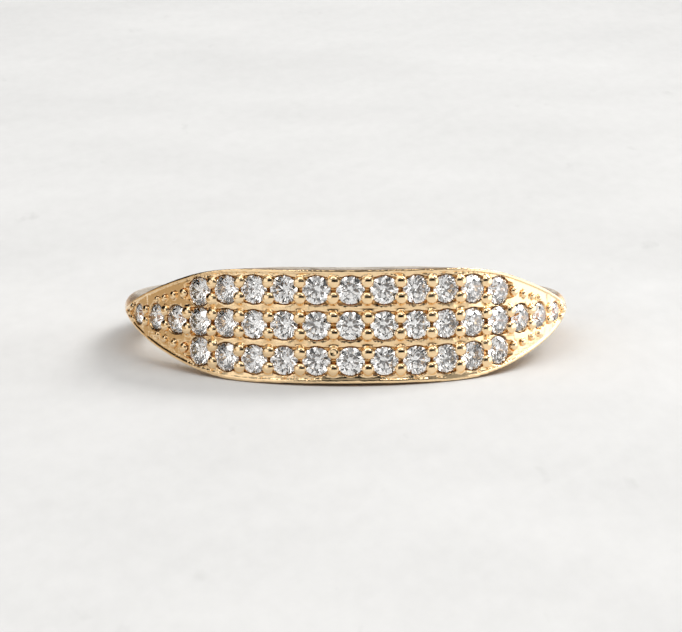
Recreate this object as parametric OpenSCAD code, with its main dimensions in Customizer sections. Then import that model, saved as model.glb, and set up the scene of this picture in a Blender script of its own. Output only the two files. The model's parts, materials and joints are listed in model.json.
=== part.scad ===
// Tapered three-row pave ring, lying on its side as it rests on a table.
//
// Everything is first drawn upright in the ring's own frame: the finger hole's axis is Z, the middle of
// the jewelled face looks along -Y, and an angle round the ring is counted from there towards +X.
// The ring is then tipped back by rest_tilt, because its face is wider than its shank, and lifted so that
// it stands on Z = 0.

/* [Ring] */
// Radius of the finger hole
finger_r = 8.6; // [7.8:0.05:10]
// Metal from the finger hole to the face, at the front
front_wall = 1.75; // [1.5:0.05:1.9]
// Metal from the finger hole to the top of the dome, at the back
back_wall = 1.4; // [1.3:0.05:1.45]
// Width of the half-round shank
shank_w = 1.3; // [1.1:0.05:1.6]

/* [Face] */
// Width of the face across its three rows
face_w = 4.9; // [4.85:0.05:5.4]
// Half the length of the straight part of the rims, round the front
straight_len = 4.3; // [3.8:0.1:4.8]
// Radius of the curve where each rim starts to turn in
turn_r = 11.8; // [10:0.2:14]
// Angle at which the rims run in to the tip
taper_deg = 16.7; // [15:0.1:18]
// Width of the polished rim
rim_w = 0.14; // [0.1:0.01:0.2]
// Width of the fine groove inside the rim
groove_w = 0.06; // [0.04:0.01:0.08]
// Depth of that groove
groove_deep = 0.11; // [0.05:0.01:0.15]
// Width of the border strip between the groove and the stones
border_w = 0.11; // [0.08:0.01:0.14]
// Width of the low ridge between two rows
ridge_w = 0.32; // [0.31:0.01:0.33]
// How far the ridges and border strips lie below the rim
ridge_drop = 0.05; // [0.02:0.01:0.1]
// How far the ground round the beads lies below the rim
ground_drop = 0.17; // [0.17:0.01:0.2]
// Width of the slot between two neighbouring stones of a row
slot_w = 0.22; // [0.16:0.01:0.26]
// Depth of that slot below the rim
slot_drop = 0.34; // [0.24:0.01:0.4]

/* [Stones] */
// Diameter of a full-size stone
stone_d = 1.25; // [1.1:0.01:1.3]
// Distance from the middle row to an outer row
row_gap = 1.56; // [1.5:0.01:1.6]
// How far a stone's girdle lies below the rim
girdle_drop = 0.11; // [0.09:0.01:0.12]
// Gap between a stone and the metal round it
seat_gap = 0.02; // [0.015:0.005:0.03]
// How much further each stone is turned on its own axis than its neighbour, in degrees
stone_turn = 17; // [0:1:22]

/* [Beads] */
// Diameter of a bead prong
bead_d = 0.56; // [0.46:0.01:0.58]
// Distance of a bead from its row's line
bead_off = 0.36; // [0.34:0.01:0.42]
// How far a bead stands above the rim
bead_proud = 0.09; // [0.05:0.01:0.12]

/* [Hidden] */
// Curves of large and of small radius are drawn with this many sides where a mesh is shown
ring_sides = 180;
small_sides = 32;

// The outside is a circle whose centre lies a little in front of the finger hole's centre
outer_r = finger_r + (front_wall + back_wall) / 2;
outer_shift = (front_wall - back_wall) / 2;
// The shank's dome stays a little below the face's rims
shank_drop = 0.05;
shank_r = shank_w / 2;
dome_r = outer_r - shank_drop - shank_r;
half_w = face_w / 2;

// Direction, round the ring, in which the side walls of the tapering part are cut
taper_dir = 60;
reach = 30;

// Columns of stones, counted from the middle: angle round the ring, distance of the outer rows from the
// middle row or 0 where there is no outer stone, and the size of the middle stone against the full size
COLUMNS = [
    [0,    row_gap,        1],
    [8.5,  row_gap,        1],
    [16.8, row_gap,        1],
    [24.8, row_gap - 0.02, 1],
    [32.6, row_gap - 0.07, 1],
    [41.0, row_gap - 0.24, 1],
    [49.3, 0,              1],
    [58.2, 0,              0.92],
    [68.3, 0,              0.72]
];
last_outer = 5;
last_middle = 8;
function column_deg(i) = sign(i) * COLUMNS[abs(i)][0];
function outer_off(i) = COLUMNS[abs(i)][1];
function middle_size(i) = COLUMNS[abs(i)][2];

// Beads past the ends of the outer rows, along the border: angle, distance from the middle row, diameter
END_BEADS = [
    [46.3, 1.21, 0.42],
    [50.0, 1.07, 0.36],
    [53.9, 0.92, 0.31],
    [57.2, 0.80, 0.27]
];
// Beads past the middle row: the last pair and the one at the tip
TIP_BEADS = [
    [72.4, 0.24, 0.30],
    [75.0, 0, 0.30]
];

// Cut of a round brilliant of radius 1, with its girdle's upper edge at height 0
table_r = 0.57;
crown_slope = 34;
star_r = 0.75;
girdle_h = 0.04;
pavilion_slope = 41;
lower_r = 0.24;
half_step = 22.5;
// The stones of the top row are turned as if they lay this many places further on, the bottom row's back
row_step = 3;
// Seat of a stone of radius 1: the pilot hole under it, and the opening above its table
pilot_r = 0.45;
pilot_deep = 1.15;
mouth_r = 0.66;
mouth_h = 0.6;

// Where the rims start to turn in, measured square to taper_dir
taper_start = (outer_r + outer_shift) * sin(straight_len / outer_r * 180 / PI - taper_dir);
// Half height of the face where it meets the finger hole, at an angle round the ring
function edge_half(deg) =
    let (
        past = finger_r * sin(deg - taper_dir) - taper_start,
        turned = turn_r * sin(taper_deg)
    )
    past < 0 ? half_w
    : past < turned ? half_w - turn_r + sqrt(turn_r * turn_r - past * past)
    : half_w - turn_r * (1 - cos(taper_deg)) - (past - turned) * tan(taper_deg);

// How the ring rests: on two places of that edge, left and right of the middle, and on its shank's side
back_y = dome_r - outer_shift;
function edge_arm(deg) = [edge_half(deg), finger_r * cos(deg) + back_y];
function edge_tilt(deg) = atan(edge_arm(deg)[0] / edge_arm(deg)[1]) - asin(shank_r / norm(edge_arm(deg)));
rest_tilt = max([for (deg = [0:0.5:40]) edge_tilt(deg)]);
lift = back_y * sin(rest_tilt) + shank_r;
front_edge_y = -(outer_r + outer_shift) * cos(rest_tilt) - half_w * sin(rest_tilt);
back_edge_y = back_y * cos(rest_tilt) + shank_r;
centre_y = (front_edge_y + back_edge_y) / 2;

function stone_name(row, i, last) = str("stone_", row, "_", i + last + 1);
function row_names(row, last) = [for (i = [-last:last]) stone_name(row, i, last)];

// Puts what is drawn in the ring's own frame into its rest pose
module at_rest() {
    translate([0, -centre_y, lift]) rotate([-rest_tilt, 0, 0]) children();
}

// Puts what is drawn round Z = 0, looking up, on the outside of the ring: at an angle from the front, at a
// height across the face and at a depth below the rims
module on_face(deg, height, drop) {
    translate([0, -outer_shift, height])
        rotate([0, 0, deg])
            translate([0, drop - outer_r, 0])
                rotate([90, 0, 0])
                    children();
}

// Half of the taper's outline, in the plane square to taper_dir: straight, then a curve, then a straight
// run in to the tip. inset moves it in from the edge of the face.
module upper_outline(inset) {
    r = turn_r - inset;
    centre = [taper_start, half_w - turn_r];
    turned = centre + r * [sin(taper_deg), cos(taper_deg)];
    union() {
        polygon([
            [-reach, -reach],
            [-reach, half_w - inset],
            [taper_start, half_w - inset],
            turned,
            turned + reach * [cos(taper_deg), -sin(taper_deg)],
            [turned[0] + reach, -reach]
        ]);
        translate(centre) circle(r, $fn = ring_sides);
    }
}

// What lies between the two outlines on one side of the face, as far as the tip
module taper_side(inset) {
    rotate([0, 0, taper_dir])
        rotate([90, 0, 0])
            translate([0, 0, -reach / 2])
                linear_extrude(reach)
                    intersection() {
                        upper_outline(inset);
                        mirror([0, 1]) upper_outline(inset);
                    }
}

// The lens-shaped region of the face, from tip to tip, cut off at the ring's widest place
module lens(inset) {
    intersection() {
        taper_side(inset);
        mirror([1, 0, 0]) taper_side(inset);
        translate([-reach / 2, -reach / 2, -half_w]) cube([reach, reach / 2, face_w]);
    }
}

// A disc round the outside circle's centre, which ends a given depth below the rims
module outer_disc(drop, height) {
    translate([0, -outer_shift, -height / 2]) cylinder(r = outer_r - drop, h = height, $fn = ring_sides);
}

// What lies outside such a disc
module outside(drop, height) {
    difference() {
        outer_disc(-1, height);
        outer_disc(drop, height + 1);
    }
}

// Plain half-round shank, all the way round
module shank() {
    translate([0, -outer_shift, 0])
        rotate_extrude($fn = ring_sides)
            union() {
                translate([dome_r, 0]) circle(shank_r, $fn = small_sides);
                translate([finger_r - front_wall, -shank_r]) square([dome_r - finger_r + front_wall, shank_w]);
            }
}

// The ground round the beads, lowered between the border strips, with the ridges left standing
module ground_cut() {
    intersection() {
        outside(ground_drop, face_w);
        lens(rim_w + groove_w + border_w);
        difference() {
            cube([reach, reach, face_w], center = true);
            for (side = [-1, 1])
                translate([0, 0, side * row_gap / 2]) cube([reach, reach, ridge_w], center = true);
        }
    }
}

// The ridges and border strips, a little below the rims
module strip_cut() {
    intersection() {
        outside(ridge_drop, face_w);
        lens(rim_w + groove_w);
    }
}

// The fine groove inside the rims
module groove_cut() {
    intersection() {
        outside(groove_deep, face_w);
        difference() {
            lens(rim_w);
            lens(rim_w + groove_w);
        }
    }
}

// The slots between neighbouring stones, one round each row
module slot_cut() {
    intersection() {
        outside(slot_drop, face_w);
        lens(rim_w + groove_w + border_w);
        for (side = [-1, 0, 1])
            translate([0, 0, side * row_gap]) cube([reach, reach, slot_w], center = true);
    }
}

module bead(deg, height, d) {
    on_face(deg, height, d / 2 - bead_proud) sphere(d = d, $fn = small_sides);
}

// A pair of beads midway between two neighbouring stones
module bead_pair(i, height) {
    mid_deg = (column_deg(i) + column_deg(i + 1)) / 2;
    small = min(middle_size(i), middle_size(i + 1));
    d = bead_d * (height == 0 ? small : 1);
    for (side = [-1, 1]) bead(mid_deg, height + side * bead_off * d / bead_d, d);
}

module beads() {
    for (i = [-last_middle:last_middle - 1]) bead_pair(i, 0);
    for (i = [-last_outer:last_outer - 1], side = [-1, 1])
        bead_pair(i, side * (outer_off(i) + outer_off(i + 1)) / 2);
    for (b = END_BEADS, way = [-1, 1], side = [-1, 1]) bead(way * b[0], side * b[1], b[2]);
    for (side = [-1, 1], way = [-1, 1]) bead(way * TIP_BEADS[0][0], side * TIP_BEADS[0][1], TIP_BEADS[0][2]);
    for (way = [-1, 1]) bead(way * TIP_BEADS[1][0], 0, TIP_BEADS[1][2]);
}

// Hollow for a stone: it follows the pavilion and the crown with a small gap, and is open above the table
module seat(r) {
    g = seat_gap;
    rotate_extrude($fn = small_sides)
        polygon([
            [0, -pilot_deep * r],
            [pilot_r * r, -pilot_deep * r],
            [pilot_r * r, -girdle_h * r - g - (1 - pilot_r) * r * tan(pavilion_slope)],
            [r + g, -girdle_h * r - g / 2],
            [r + g, g / 2],
            [mouth_r * r, g + (1 - mouth_r) * r * tan(crown_slope)],
            [mouth_r * r, mouth_h * r],
            [0, mouth_h * r]
        ]);
}

// A round brilliant of radius r with its girdle's upper edge at height 0: table, 8 stars, 8 kites and 16
// upper halves on the crown, and 8 mains and 16 lower halves on the pavilion
module brilliant(r) {
    function at(radius, step, z) = r * [radius * cos(step * half_step), radius * sin(step * half_step), z];
    function crown_z(radius, steps) = (1 - radius * cos(steps * half_step)) * tan(crown_slope);
    function pavilion_z(radius, steps) = -girdle_h - (1 - radius * cos(steps * half_step)) * tan(pavilion_slope);
    // Points: 8 of the table, 8 star tips, 16 round the girdle above and below, 8 lower tips and the culet
    table = 0;
    star = 8;
    top = 16;
    low = 32;
    tip = 48;
    culet = 56;
    points = concat(
        [for (k = [0:7]) at(table_r, 2 * k, crown_z(table_r, 0))],
        [for (k = [0:7]) at(star_r, 2 * k + 1, crown_z(star_r, 1))],
        [for (k = [0:15]) at(1, k, 0)],
        [for (k = [0:15]) at(1, k, -girdle_h)],
        [for (k = [0:7]) at(lower_r, 2 * k + 1, pavilion_z(lower_r, 1))],
        [at(0, 0, pavilion_z(0, 0))]
    );
    function round8(k) = (k + 8) % 8;
    function round16(k) = (k + 16) % 16;
    faces = concat(
        [[for (k = [7:-1:0]) table + k]],
        [for (k = [0:7]) [table + k, table + round8(k + 1), star + k]],
        [for (k = [0:7]) [table + k, star + k, top + 2 * k, star + round8(k - 1)]],
        [for (k = [0:7]) [star + k, top + 2 * k + 1, top + 2 * k]],
        [for (k = [0:7]) [star + k, top + round16(2 * k + 2), top + 2 * k + 1]],
        [for (k = [0:15]) [top + k, top + round16(k + 1), low + round16(k + 1), low + k]],
        [for (k = [0:7]) [low + 2 * k, low + 2 * k + 1, tip + k]],
        [for (k = [0:7]) [low + 2 * k + 1, low + round16(2 * k + 2), tip + k]],
        [for (k = [0:7]) [low + 2 * k, tip + k, culet, tip + round8(k - 1)]]
    );
    polyhedron(points, faces);
}

// One seat at each stone's place
module stone_seats() {
    for (i = [-last_middle:last_middle])
        on_face(column_deg(i), 0, girdle_drop) seat(stone_d / 2 * middle_size(i));
    for (i = [-last_outer:last_outer], side = [-1, 1])
        on_face(column_deg(i), side * outer_off(i), girdle_drop) seat(stone_d / 2);
}

module finger_hole() {
    cylinder(r = finger_r, h = 2 * face_w, center = true, $fn = ring_sides);
}

module band() {
    color([0.86, 0.68, 0.42])
        at_rest()
            difference() {
                union() {
                    difference() {
                        union() {
                            shank();
                            intersection() {
                                outer_disc(0, face_w);
                                lens(0);
                            }
                        }
                        strip_cut();
                        groove_cut();
                        ground_cut();
                        slot_cut();
                    }
                    beads();
                }
                stone_seats();
                finger_hole();
            }
}

// A stone of one row: side is 1 for the top row, 0 for the middle row and -1 for the bottom row
module stone(side, i) {
    size = side == 0 ? middle_size(i) : 1;
    color([0.93, 0.95, 0.97])
        at_rest()
            on_face(column_deg(i), side * outer_off(i), girdle_drop)
                rotate([0, 0, stone_turn * (i + row_step * side)]) brilliant(stone_d / 2 * size);
}

band();
for (i = [-last_outer:last_outer])
    stone(1, i);
for (i = [-last_middle:last_middle])
    stone(0, i);
for (i = [-last_outer:last_outer])
    stone(-1, i);
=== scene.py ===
"""Tapered three-row pave band ring on a pale tabletop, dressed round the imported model."""
import json
import math

import bpy
import numpy as np
from mathutils import Matrix, Vector


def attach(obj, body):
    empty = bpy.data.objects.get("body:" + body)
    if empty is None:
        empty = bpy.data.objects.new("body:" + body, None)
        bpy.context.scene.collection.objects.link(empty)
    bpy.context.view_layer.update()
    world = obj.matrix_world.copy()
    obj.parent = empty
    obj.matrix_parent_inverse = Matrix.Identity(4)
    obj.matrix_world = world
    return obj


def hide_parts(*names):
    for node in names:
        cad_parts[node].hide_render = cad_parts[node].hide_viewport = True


MM = 0.001

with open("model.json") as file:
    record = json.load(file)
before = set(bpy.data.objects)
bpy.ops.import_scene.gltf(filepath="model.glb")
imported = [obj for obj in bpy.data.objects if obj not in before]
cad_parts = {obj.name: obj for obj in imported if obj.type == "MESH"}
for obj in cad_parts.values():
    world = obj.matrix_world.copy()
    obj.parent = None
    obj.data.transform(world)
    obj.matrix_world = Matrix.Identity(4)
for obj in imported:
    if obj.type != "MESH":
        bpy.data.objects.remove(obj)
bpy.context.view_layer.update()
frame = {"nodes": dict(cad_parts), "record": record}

# Ring sizes: the centre and tilt come from the record's finger bore, the rest are those of the CAD band.
# TO_RING turns directions of the scene to the ring's own frame
bore = frame["record"]["mounts"][0]
RING_CENTRE = Vector(bore["pos_m"])
TILT = math.atan2(bore["axis"][1], bore["axis"][2])
TO_RING = Matrix.Rotation(TILT, 3, "X")
OUTER_R = 10.175 * MM
OUTER_SHIFT = 0.175 * MM
FRONT_R = OUTER_R + OUTER_SHIFT
# Past its turn the face tapers: its half height at one angle, and how fast that falls with the sine
TAPER_ANGLE = math.radians(60)
TAPER_HALF = 1.2 * MM
TAPER_FALL = 3.05 * MM
# Rows of stones, numbered from left to right, and how far their girdles lie below the rim
ROW_COUNTS = {"top": 11, "middle": 17, "bottom": 11}
ROW_GAP = 1.56 * MM
GIRDLE_DROP = 0.11 * MM
# The stones' cut, against a radius of 1: its slopes, the width of the crown and the girdle's height
CROWN_SLOPE = math.tan(math.radians(34))
PAVILION_SLOPE = math.tan(math.radians(41))
CROWN_WIDTH = 0.43
GIRDLE_HEIGHT = 0.04
# Bead prongs
BEAD_D = 0.56 * MM
BEAD_OFF = 0.36 * MM
BEAD_PROUD = 0.09 * MM
# Beads past the ends of the rows: degrees from the middle, mm from the middle row, diameter in mm
END_BEADS = [(46.3, 1.21, 0.42), (50.0, 1.07, 0.36), (53.9, 0.92, 0.31), (57.2, 0.80, 0.27)]
TIP_BEADS = [(72.4, 0.24, 0.30), (75.0, 0, 0.30)]

# Camera: where the photograph was taken from, in the ring's own frame, and its framing
CAMERA_DISTANCE = 20 * FRONT_R
CAMERA_SIDE = math.radians(1.24)
CAMERA_HEIGHT = math.radians(5.05)
PHOTO_W = 682
PHOTO_H = 632
PIXELS_PER_FRONT_R = 225.1
RING_PIXEL = (345.4, 305.3)
SENSOR_W = 36


class Value:
    """A number socket that adds Math nodes when it is used in an expression."""

    def __init__(self, nodes, socket):
        self.nodes = nodes
        self.socket = socket

    def math(self, operation, *values):
        sockets = dict(enumerate(values))
        return self.nodes.add("Math", {"operation": operation}, sockets)[0]

    def __add__(self, other):
        return self.math("ADD", self, other)

    def __sub__(self, other):
        return self.math("SUBTRACT", self, other)

    def __rsub__(self, other):
        return self.math("SUBTRACT", other, self)

    def __mul__(self, other):
        return self.math("MULTIPLY", self, other)

    __radd__ = __add__
    __rmul__ = __mul__


class Nodes:
    """A material's or world's node tree, with one method that adds nodes."""

    OBJECT_COORDINATES = 3

    def __init__(self, tree):
        self.tree = tree
        tree.nodes.clear()

    def add(self, kind, settings=None, sockets=None):
        """Adds a node of this kind and returns its outputs by index."""
        node = self.tree.nodes.new("ShaderNode" + kind)
        for name, value in (settings or {}).items():
            setattr(node, name, value)
        for name, value in (sockets or {}).items():
            socket = node.inputs[name]
            if isinstance(value, Value):
                self.tree.links.new(value.socket, socket)
            else:
                socket.default_value = value
        return [Value(self, output) for output in node.outputs]

    def place(self):
        """Where each point of the surface lies in its object."""
        return self.add("TexCoord")[self.OBJECT_COORDINATES]

    def noise(self, place, scale, detail, distortion=0.0):
        """Soft noise between 0 and 1."""
        sockets = {"Vector": place, "Scale": scale, "Detail": detail, "Distortion": distortion}
        return self.add("TexNoise", None, sockets)[0]

    def ramp(self, value, start, end):
        """0 at start and 1 at end, with a straight climb between them."""
        return self.add("MapRange", None, {"Value": value, "From Min": start, "From Max": end})[0]

    def blend(self, factor, low, high):
        """A colour between two colours."""
        return self.add("Mix", {"data_type": "RGBA"}, {0: factor, 6: low, 7: high})[2]

    def bump(self, relief, strength, distance):
        """A normal that shows this relief."""
        sockets = {"Strength": strength, "Distance": distance, "Height": relief}
        return self.add("Bump", None, sockets)[0]

    def finish(self, shader, sockets, output="OutputMaterial"):
        """Adds the shader and joins it to the output."""
        surface = self.add(shader, None, sockets)[0]
        self.add(output, None, {"Surface": surface})


def new_material(name):
    material = bpy.data.materials.new(name)
    material.use_nodes = True
    return material, Nodes(material.node_tree)


# The gold's tones. The painted shade, a darker and deeper gold for the recesses, comes in between the
# first two depths under the outside circle, and is gone again at the first of the other two, so that the
# seats' floors and the inside are plain
GOLD_TONES = ((0.94, 0.68, 0.39, 1), (1.0, 0.76, 0.47, 1))
RECESS_SHADE_GOLD = (0.80, 0.47, 0.19, 1)
RECESS_SHADE_TOP = (0.06 * MM, 0.14 * MM)
RECESS_SHADE_FLOOR = (0.6 * MM, 0.4 * MM)


def polished_gold():
    """Warm yellow gold, polished by hand, with fine lines round the ring and painted shade, a darker gold,
    in its recesses.
    """
    material, nodes = new_material("polished_gold")
    place = nodes.place()
    centre = Vector((0, OUTER_SHIFT, 0)) - TO_RING @ RING_CENTRE
    turned = {"Vector": place, "Rotation": (TILT, 0, 0), "Location": centre}
    in_ring = nodes.add("Mapping", None, turned)[0]
    flat = nodes.add("VectorMath", {"operation": "MULTIPLY"}, {0: in_ring, 1: (1, 1, 0)})[0]
    radius = nodes.add("VectorMath", {"operation": "LENGTH"}, {0: flat})[1]
    # Painted shade: a mask that is 1 in the recesses, where the gold's colour is darkened, and which also
    # makes the gold a little rougher there
    painted_recess_shade = nodes.ramp(radius, OUTER_R - RECESS_SHADE_TOP[0], OUTER_R - RECESS_SHADE_TOP[1])
    painted_recess_shade *= nodes.ramp(radius, OUTER_R - RECESS_SHADE_FLOOR[0], OUTER_R - RECESS_SHADE_FLOOR[1])
    along = nodes.add("Mapping", None, {"Vector": in_ring, "Scale": (350, 350, 14000)})[0]
    lines = nodes.noise(along, scale=1.0, detail=2.0)
    waves = nodes.noise(place, scale=1400.0, detail=2.0)
    marks = nodes.noise(place, scale=6500.0, detail=3.0)
    # Painted shade: the recesses take the darker, deeper gold in place of the gold's own tones
    tone = nodes.blend(painted_recess_shade, nodes.blend(waves, *GOLD_TONES), RECESS_SHADE_GOLD)
    finish = {
        "Base Color": tone,
        "Metallic": 1.0,
        "Roughness": 0.12 * marks + 0.08 * lines + 0.1 * painted_recess_shade + 0.06,
        "Normal": nodes.bump(0.5 * waves + 0.15 * marks + 0.4 * lines, strength=0.3, distance=0.04 * MM),
    }
    nodes.finish("BsdfPrincipled", finish)
    return material


STONE_TONES = ((0.95, 0.955, 0.96, 1), (1.0, 1.0, 1.0, 1))
STONE_IOR = 2.417


def clear_stone():
    """Cut and polished clear stone, with the faintest cloud in it."""
    material, nodes = new_material("clear_stone")
    clouds = nodes.noise(nodes.place(), scale=1600.0, detail=2.0)
    finish = {
        "Base Color": nodes.blend(clouds, *STONE_TONES),
        "Roughness": 0.0,
        "IOR": STONE_IOR,
        "Transmission Weight": 1.0,
    }
    nodes.finish("BsdfPrincipled", finish)
    return material


PLASTER_TONES = ((0.515, 0.522, 0.528, 1), (0.735, 0.742, 0.75, 1))
# The trowel's strokes: their direction, and their length and width
STROKE_TURN = math.radians(66)
STROKE_SIZE = (14 * MM, 1.6 * MM, 1)


def pale_tabletop():
    """Matt off-white plaster with faint clouds, trowel streaks, fine grain and a few darker pits."""
    material, nodes = new_material("pale_tabletop")
    place = nodes.place()
    stroke = {"Vector": place, "Rotation": (0, 0, STROKE_TURN), "Scale": STROKE_SIZE}
    along = nodes.add("Mapping", {"vector_type": "TEXTURE"}, stroke)[0]
    streaks = nodes.noise(along, scale=1.0, detail=5.0, distortion=0.6)
    clouds = nodes.noise(place, scale=60.0, detail=6.0)
    long_grain = nodes.add("Mapping", None, {"Vector": place, "Scale": (1400, 420, 1)})[0]
    grain = nodes.noise(long_grain, scale=1.0, detail=4.0)
    long_specks = nodes.add("Mapping", None, {"Vector": place, "Scale": (520, 130, 1)})[0]
    pits = nodes.ramp(nodes.noise(long_specks, scale=1.0, detail=3.0), 0.68, 0.8)
    mottle = 0.6 * clouds + 0.15 * streaks + 0.25 * grain - 0.3 * pits
    relief = 0.2 * streaks + 0.35 * grain - 0.4 * pits
    finish = {
        "Base Color": nodes.blend(mottle, *PLASTER_TONES),
        "Roughness": 0.7,
        "Specular IOR Level": 0.05,
        "Normal": nodes.bump(relief, strength=0.2, distance=0.1 * MM),
    }
    nodes.finish("BsdfPrincipled", finish)
    return material


def glowing_card(name, colour, strength):
    material, nodes = new_material(name)
    nodes.finish("Emission", {"Color": (*colour, 1), "Strength": strength})
    return material


def deselect_all():
    bpy.ops.object.select_all(action="DESELECT")


def select_only(piece):
    deselect_all()
    piece.select_set(True)
    bpy.context.view_layer.objects.active = piece


def set_material(piece, material):
    piece.data.materials.clear()
    piece.data.materials.append(material)


def apply_modifier(piece, kind, **settings):
    modifier = piece.modifiers.new(kind.lower(), kind)
    for name, value in settings.items():
        setattr(modifier, name, value)
    bpy.ops.object.modifier_apply(modifier=modifier.name)


def read_points(piece):
    points = np.empty(len(piece.data.vertices) * 3)
    piece.data.vertices.foreach_get("co", points)
    return points.reshape(-1, 3)


def write_points(piece, points):
    piece.data.vertices.foreach_set("co", points.ravel())
    piece.data.update()


def smooth_step(start, end, values):
    """0 at start and before it, 1 at end and past it, and smooth between them."""
    t = np.clip((values - start) / (end - start), 0, 1)
    return t * t * (3 - 2 * t)


class RingSurface:
    """Points as the jeweller sees them: angle round the ring, height across it, distance from its axis."""

    FACE_DEEP = 0.7 * MM

    def __init__(self, points):
        self.turn = np.array(TO_RING)
        x, y, self.height = ((points - np.array(RING_CENTRE)) @ self.turn.T).T
        self.angle = np.arctan2(x, -(y + OUTER_SHIFT))
        self.radius = np.hypot(x, y + OUTER_SHIFT)
        self.on_bead = np.zeros(len(points), dtype=bool)

    def near(self, angle, height, reach):
        """The points near a place on the face, and how they lie from it: along, across and outwards."""
        turn = self.angle - angle
        found = np.abs(turn) * OUTER_R < reach
        found &= np.abs(self.height - height) < reach
        found &= self.radius > OUTER_R - self.FACE_DEEP
        rows = np.flatnonzero(found)
        along = self.radius[rows] * np.sin(turn[rows])
        out = self.radius[rows] * np.cos(turn[rows]) - OUTER_R
        return rows, np.stack((along, self.height[rows] - height, out), axis=1)

    def put(self, rows, angle, height, spots):
        """Moves points to where they now lie from a place on the face."""
        out = spots[:, 2] + OUTER_R
        self.angle[rows] = angle + np.arctan2(spots[:, 0], out)
        self.height[rows] = height + spots[:, 1]
        self.radius[rows] = np.hypot(spots[:, 0], out)

    def points(self):
        x = self.radius * np.sin(self.angle)
        y = -self.radius * np.cos(self.angle) - OUTER_SHIFT
        return np.stack((x, y, self.height), axis=1) @ self.turn + np.array(RING_CENTRE)


def from_face(spots, angle, height):
    """Points of the scene from how they lie from a place on the face: along, across and outwards."""
    out = spots[:, 2] + OUTER_R
    x = spots[:, 0] * math.cos(angle) + out * math.sin(angle)
    y = spots[:, 0] * math.sin(angle) - out * math.cos(angle) - OUTER_SHIFT
    in_ring = np.stack((x, y, spots[:, 1] + height), axis=1)
    return in_ring @ np.array(TO_RING) + np.array(RING_CENTRE)


def stone_places():
    """Angle, height and radius of each stone, by its node's name."""
    places = {}
    for node_name, node in frame["nodes"].items():
        if node_name.startswith("stone"):
            corners = np.unique(np.round(read_points(node), 8), axis=0)
            middle = RingSurface(corners.mean(axis=0, keepdims=True))
            angle, height = middle.angle[0], middle.height[0]
            spots = RingSurface(corners).near(angle, height, reach=1 * MM)[1]
            places[node_name] = (angle, height, np.hypot(spots[:, 0], spots[:, 1]).max())
    return places


def row_of(stones, row):
    """The places of one row's stones, from left to right."""
    return [stones["stone_%s_%d" % (row, number + 1)] for number in range(ROW_COUNTS[row])]


def bead_places(stones):
    """Angle, height and diameter of each bead: pairs between the stones, then those past the rows."""
    places = []
    full = max(radius for angle, height, radius in stones.values())
    for row in ROW_COUNTS:
        line = row_of(stones, row)
        for left, right in zip(line, line[1:]):
            size = min(left[2], right[2]) / full
            for side in (-1, 1):
                height = (left[1] + right[1]) / 2 + side * BEAD_OFF * size
                places.append(((left[0] + right[0]) / 2, height, BEAD_D * size))
    for degrees, height, size in END_BEADS + TIP_BEADS:
        for way in (-1, 1):
            for side in (-1, 1) if height else (0,):
                places.append((way * math.radians(degrees), side * height * MM, size * MM))
    return places


# How unevenly the beads were raised: the furthest that one lies from its place, the range of its widths
# against the CAD bead's, its height against its width, and how much further it stands out
BEAD_SEED = 5
BEAD_SLIDE = 0.02 * MM
BEAD_WIDTH = (0.98, 1.1)
BEAD_HEIGHT = (0.64, 0.72)
BEAD_RAISE = 0.045 * MM


def raise_beads(band, beads):
    """Joins a low dome to the band for each bead: a little oval, turned and out of place, as by hand."""
    rng = np.random.default_rng(BEAD_SEED)
    deselect_all()
    bpy.ops.mesh.primitive_uv_sphere_add(segments=24, ring_count=16, radius=1)
    ball = bpy.context.object
    unit = read_points(ball)
    domes = []
    for angle, height, size in beads:
        wide = rng.uniform(*BEAD_WIDTH, 2) * size / 2
        deep = rng.uniform(*BEAD_HEIGHT) * size / 2
        swing = rng.uniform(0, math.pi)
        turned = np.array(((math.cos(swing), math.sin(swing)), (-math.sin(swing), math.cos(swing))))
        spots = unit * (*wide, deep)
        spots[:, :2] = spots[:, :2] @ turned + rng.uniform(-1, 1, 2) * BEAD_SLIDE
        spots[:, 2] += BEAD_PROUD + BEAD_RAISE * size / BEAD_D - deep
        dome = bpy.data.objects.new("dome", ball.data.copy())
        bpy.context.scene.collection.objects.link(dome)
        write_points(dome, from_face(spots, angle, height))
        domes.append(dome)
    bpy.data.objects.remove(ball)
    select_only(band)
    for dome in domes:
        dome.select_set(True)
    bpy.ops.object.join()


# Metal is a bead's within this share of its diameter from its middle, and down to this depth
BEAD_SPREAD = 0.58
BEAD_FOOT = -0.15 * MM
# A bead with a hollow top, which the photograph shows below the middle: its place, and the hollow's size
HOLLOW_ANGLE = math.radians(-4.25)
HOLLOW_HEIGHT = -1.17 * MM
HOLLOW_DEEP = 0.1 * MM
HOLLOW_R = 0.13 * MM


def mark_beads(surface, beads):
    """Notes which points belong to a bead, and hollows the one bead's top."""
    for angle, height, size in beads:
        rows, spots = surface.near(angle, height, reach=0.7 * size)
        flat = np.hypot(spots[:, 0], spots[:, 1])
        surface.on_bead[rows[(flat < BEAD_SPREAD * size) & (spots[:, 2] > BEAD_FOOT)]] = True
    rows, spots = surface.near(HOLLOW_ANGLE, HOLLOW_HEIGHT, reach=0.3 * MM)
    spots[:, 2] -= HOLLOW_DEEP * np.exp(-((spots[:, 0] ** 2 + spots[:, 1] ** 2) / HOLLOW_R**2))
    surface.put(rows, HOLLOW_ANGLE, HOLLOW_HEIGHT, spots)


# A sunk field between four beads: half its length, half its width and its depth
FIELD_LONG = 0.3 * MM
FIELD_WIDE = 0.22 * MM
FIELD_DEEP = 0.05 * MM


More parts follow.
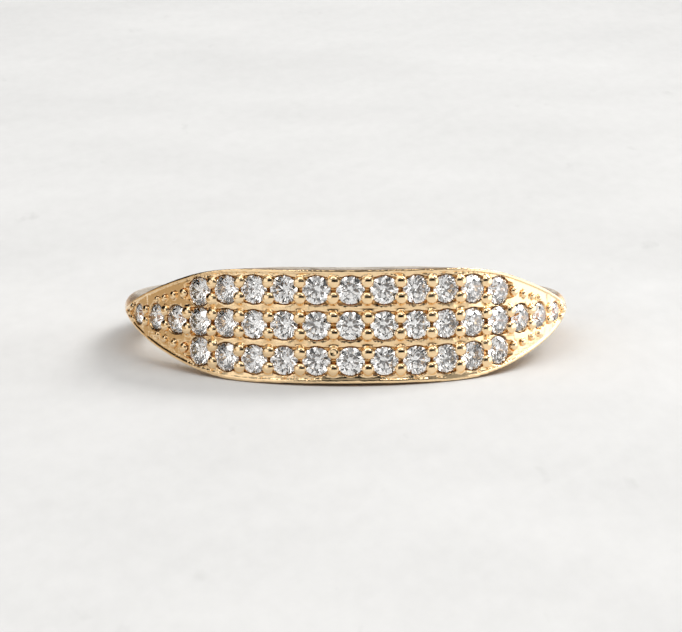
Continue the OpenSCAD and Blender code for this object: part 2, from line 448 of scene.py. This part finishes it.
def sink_fields(surface, stones):
    """Lowers the small fields that four beads enclose, so that the bars between the stones stand out."""
    line = [angle for angle, height, radius in row_of(stones, "middle")]
    for left, right in zip(line, line[1:]):
        for side in (-1, 1):
            angle, height = (left + right) / 2, side * ROW_GAP / 2
            rows, spots = surface.near(angle, height, reach=0.7 * MM)
            along, across = spots[:, 0] / FIELD_LONG, spots[:, 1] / FIELD_WIDE
            sink = FIELD_DEEP * np.exp(-(along**2) - across**2)
            spots[:, 2] -= np.where(surface.on_bead[rows], 0, sink)
            surface.put(rows, angle, height, spots)


# The opening round a stone, from its girdle outwards: metal from inside the girdle moves out to the
# bevel's inner edge. Then the bevel's outer edge and drop, and the depths where the opening comes in
OPEN_FROM = -0.05 * MM
BEVEL_INNER = 0.025 * MM
BEVEL_OUTER = 0.07 * MM
BEVEL_DROP = 0.03 * MM
OPEN_DEPTHS = (-0.17 * MM, -0.12 * MM)


def cut_scallops(surface, stones):
    """Opens the bars and borders round each stone, with a narrow bevel down to it."""
    for angle, height, radius in stones.values():
        rows, spots = surface.near(angle, height, reach=1.3 * radius)
        flat = np.hypot(spots[:, 0], spots[:, 1])
        before, inner, outer = radius + OPEN_FROM, radius + BEVEL_INNER, radius + BEVEL_OUTER
        opened = inner + (flat - before) * (outer - inner) / (outer - before)
        hold = smooth_step(*OPEN_DEPTHS, spots[:, 2])
        hold *= ~surface.on_bead[rows] & (flat > radius / 2) & (flat < outer)
        spots[:, :2] *= (1 + hold * (opened / flat - 1))[:, None]
        spots[:, 2] -= hold * BEVEL_DROP * (outer - opened) / (outer - inner)
        surface.put(rows, angle, height, spots)


# The fill past the rows' ends: the angles where it comes in, the depths under the outside circle where it
# ends, the depth it is filled up to, and how far it keeps from the face's edge and from a stone's girdle
FILL_ANGLES = (math.radians(44), math.radians(46.5))
FILL_DEPTHS = (0.5 * MM, 0.42 * MM)
FILL_LEVEL = 0.055 * MM
FILL_OFF_EDGE = (0.02 * MM, 0.1 * MM)
FILL_OFF_STONE = (0.03 * MM, 0.08 * MM)


def fill_ends(surface, stones):
    """Raises the face's ground past the outer rows' last stones, to a plain field with small beads."""
    turn = np.abs(surface.angle)
    drop = OUTER_R - surface.radius
    past = smooth_step(*FILL_ANGLES, turn)
    lift = past * smooth_step(*FILL_DEPTHS, drop) * np.maximum(drop - FILL_LEVEL, 0)
    lift[surface.on_bead] = 0
    half_face = TAPER_HALF - TAPER_FALL * np.sin(turn - TAPER_ANGLE)
    edge, full = half_face - FILL_OFF_EDGE[0], half_face - FILL_OFF_EDGE[1]
    lift *= smooth_step(edge, full, np.abs(surface.height))
    for angle, height, radius in stones.values():
        rows, spots = surface.near(angle, height, reach=1.5 * radius)
        flat = np.hypot(spots[:, 0], spots[:, 1])
        lift[rows] *= smooth_step(radius + FILL_OFF_STONE[0], radius + FILL_OFF_STONE[1], flat)
    surface.radius += lift


# The thickened foot of the lower rim: its drop, and the heights, angles and radii where it comes in
FOOT_DROP = 0.08 * MM
FOOT_HEIGHTS = (-2.1 * MM, -2.42 * MM)
FOOT_ANGLES = (math.radians(52), math.radians(26))
FOOT_RADII = (OUTER_R - 1.5 * MM, OUTER_R - 0.3 * MM)


def spread_foot(surface):
    """Thickens the lower rim towards the tabletop, where the photograph shows hardly a gap under it."""
    foot = smooth_step(*FOOT_HEIGHTS, surface.height)
    foot *= smooth_step(*FOOT_ANGLES, np.abs(surface.angle))
    foot *= smooth_step(*FOOT_RADII, surface.radius)
    surface.height -= foot * FOOT_DROP


# The gap left between a stone and the metal that is pushed out of it
STONE_GAP = 0.006 * MM


def clear_stones(surface, stones):
    """Pushes metal that now reaches into a stone up off its crown, or away from its lower part."""
    for angle, height, radius in stones.values():
        rows, spots = surface.near(angle, height, reach=1.1 * radius)
        flat = np.hypot(spots[:, 0], spots[:, 1])
        above = spots[:, 2] + GIRDLE_DROP
        crown = np.minimum(radius - flat, CROWN_WIDTH * radius) * CROWN_SLOPE + STONE_GAP
        push_up = (above >= 0) & (above < crown) & (flat < radius)
        spots[push_up, 2] += (crown - above)[push_up]
        below = np.maximum(-above - GIRDLE_HEIGHT * radius, 0)
        edge = radius + STONE_GAP - below / PAVILION_SLOPE
        push_out = (above < 0) & (flat < edge) & (flat > 0)
        spots[push_out, :2] *= (edge / np.maximum(flat, STONE_GAP))[push_out, None]
        surface.put(rows, angle, height, spots)


# The dressed band's mesh: its voxels, the triangles that are left, and the angle that stays a sharp edge
VOXEL = 0.034 * MM
BAND_TRIANGLES = 190000
SHARP_ANGLE = math.radians(38)


def dress_band():
    """The band with softened edges, uneven beads and scalloped bars, from a copy of the CAD band."""
    piece = bpy.data.objects.new("band_metal", frame["nodes"]["band"].data.copy())
    bpy.context.scene.collection.objects.link(piece)
    select_only(piece)
    bpy.ops.object.mode_set(mode="EDIT")
    bpy.ops.mesh.select_all(action="SELECT")
    bpy.ops.mesh.remove_doubles(threshold=1e-8)
    bpy.ops.object.mode_set(mode="OBJECT")
    stones = stone_places()
    beads = bead_places(stones)
    raise_beads(piece, beads)
    apply_modifier(piece, "REMESH", mode="VOXEL", voxel_size=VOXEL)

    surface = RingSurface(read_points(piece))
    mark_beads(surface, beads)
    sink_fields(surface, stones)
    cut_scallops(surface, stones)
    fill_ends(surface, stones)
    spread_foot(surface)
    write_points(piece, surface.points())

    apply_modifier(piece, "SMOOTH", factor=0.5, iterations=2)
    triangles = 2 * len(piece.data.polygons)
    apply_modifier(piece, "DECIMATE", ratio=BAND_TRIANGLES / triangles)
    surface = RingSurface(read_points(piece))
    clear_stones(surface, stones)
    write_points(piece, surface.points())
    bpy.ops.object.shade_smooth_by_angle(angle=SHARP_ANGLE)
    apply_modifier(piece, "WEIGHTED_NORMAL", keep_sharp=True)
    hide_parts("band")
    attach(piece, "root")
    return piece


gold = polished_gold()
stone = clear_stone()
for node_name, node in frame["nodes"].items():
    set_material(node, stone if node_name.startswith("stone") else gold)
set_material(dress_band(), gold)

# Floor
deselect_all()
bpy.ops.mesh.primitive_plane_add(size=4, location=(0, 0, 0))
floor = bpy.context.object
floor.name = "tabletop"
set_material(floor, pale_tabletop())


def add_card(name, azimuth, height_deg, distance, size, colour, strength):
    """A lit or dark card that faces the ring, in degrees and metres. Azimuth 0 is in front, 90 right."""
    a = math.radians(azimuth)
    e = math.radians(height_deg)
    away = Vector((math.sin(a) * math.cos(e), -math.cos(a) * math.cos(e), math.sin(e)))
    deselect_all()
    bpy.ops.mesh.primitive_plane_add(size=1, location=away * distance)
    card = bpy.context.object
    card.name = name
    card.rotation_euler = away.to_track_quat("Z", "Y").to_euler()
    card.scale = (size[0], size[1], 1)
    card.visible_camera = False
    set_material(card, glowing_card(name, colour, strength))
    return card


def hide_from(card, *rays):
    """Keeps a card from being met by rays of these kinds."""
    for ray in rays:
        setattr(card, "visible_" + ray, False)


DAYLIGHT = (1.0, 0.98, 0.95)
LAMPLIGHT = (1.0, 0.96, 0.91)
DARK = (0.02, 0.02, 0.02)
NEAR_DISTANCE = 16.5 * MM

# Light: a soft window behind on the right and a bright ceiling
add_card("window", 122, 42, 0.7, (0.32, 0.32), DAYLIGHT, 10.5)
add_card("ceiling", 0, 80, 0.8, (0.8, 0.6), (1.0, 0.99, 0.97), 1.6)

# Softer light from in front. The metal mirrors a smaller, brighter card in place of each of the two
for name, azimuth, strength in (("right_fill", 48, 4.2), ("left_fill", -45, 3.0)):
    fill = add_card(name, azimuth, 50, 0.7, (0.45, 0.3), LAMPLIGHT, strength)
    hide_from(fill, "glossy")
    shine = add_card(name + "_shine", azimuth, 50, 0.7, (0.15, 0.12), LAMPLIGHT, 1.8 * strength)
    hide_from(shine, "diffuse", "transmission", "shadow")

# Walls of a dim room
add_card("left_wall", -62, 17, 0.6, (0.75, 0.34), (1.0, 0.98, 0.96), 1.1)
add_card("right_wall", 108, 10, 0.6, (1.0, 0.2), (1.0, 0.99, 0.98), 1.6)

# Things close beside the ring, which are seen only where its metal mirrors them
near_cards = (
    ("left_low", -95, 6, (0.03, 0.0034), (1.0, 0.8, 0.55), 0.5),
    ("left_dark", -95, 28, (0.02, 0.0095), DARK, 0.0),
    ("right_low", 95, 10, (0.03, 0.0056), (1.0, 1.0, 1.0), 2.0),
)
for name, azimuth, height_deg, size, colour, strength in near_cards:
    near_card = add_card(name, azimuth, height_deg, NEAR_DISTANCE, size, colour, strength)
    hide_from(near_card, "shadow", "diffuse", "transmission")

# In front, as the face mirrors it: the table's far part glows, and the room above it is dark
for number, azimuth in enumerate((-3, 32), start=1):
    glow = add_card("table_glow_%d" % number, azimuth, 4, 0.33, (0.24, 0.046), DAYLIGHT, 0.9)
    hide_from(glow, "transmission")
    dark = add_card("dark_strip_%d" % number, azimuth, 17, 0.35, (0.25, 0.205), DARK, 0.0)
    hide_from(dark, "shadow", "diffuse")

world = bpy.data.worlds.new("soft_room")
bpy.context.scene.world = world
world.use_nodes = True
room_light = {"Color": (0.98, 0.985, 0.98, 1), "Strength": 0.33}
Nodes(world.node_tree).finish("Background", room_light, output="OutputWorld")

# Camera
towards = TO_RING.transposed() @ Vector((
    -math.sin(CAMERA_SIDE) * math.cos(CAMERA_HEIGHT),
    -math.cos(CAMERA_SIDE) * math.cos(CAMERA_HEIGHT),
    math.sin(CAMERA_HEIGHT),
))
bpy.ops.object.camera_add(location=RING_CENTRE + towards * CAMERA_DISTANCE)
camera = bpy.context.object
camera.name = "camera"
camera.rotation_euler = towards.to_track_quat("Z", "Y").to_euler()
camera.data.sensor_width = SENSOR_W
camera.data.lens = PIXELS_PER_FRONT_R * (CAMERA_DISTANCE / FRONT_R) / PHOTO_W * SENSOR_W
camera.data.shift_x = (PHOTO_W / 2 - RING_PIXEL[0]) / PHOTO_W
camera.data.shift_y = (RING_PIXEL[1] - PHOTO_H / 2) / PHOTO_W
camera.data.clip_start = 0.01
camera.data.clip_end = 20
bpy.context.scene.camera = camera

scene = bpy.context.scene
scene.view_settings.view_transform = "Standard"
scene.cycles.max_bounces = 16
scene.cycles.transmission_bounces = 14
scene.cycles.glossy_bounces = 8
scene.cycles.use_denoising = True
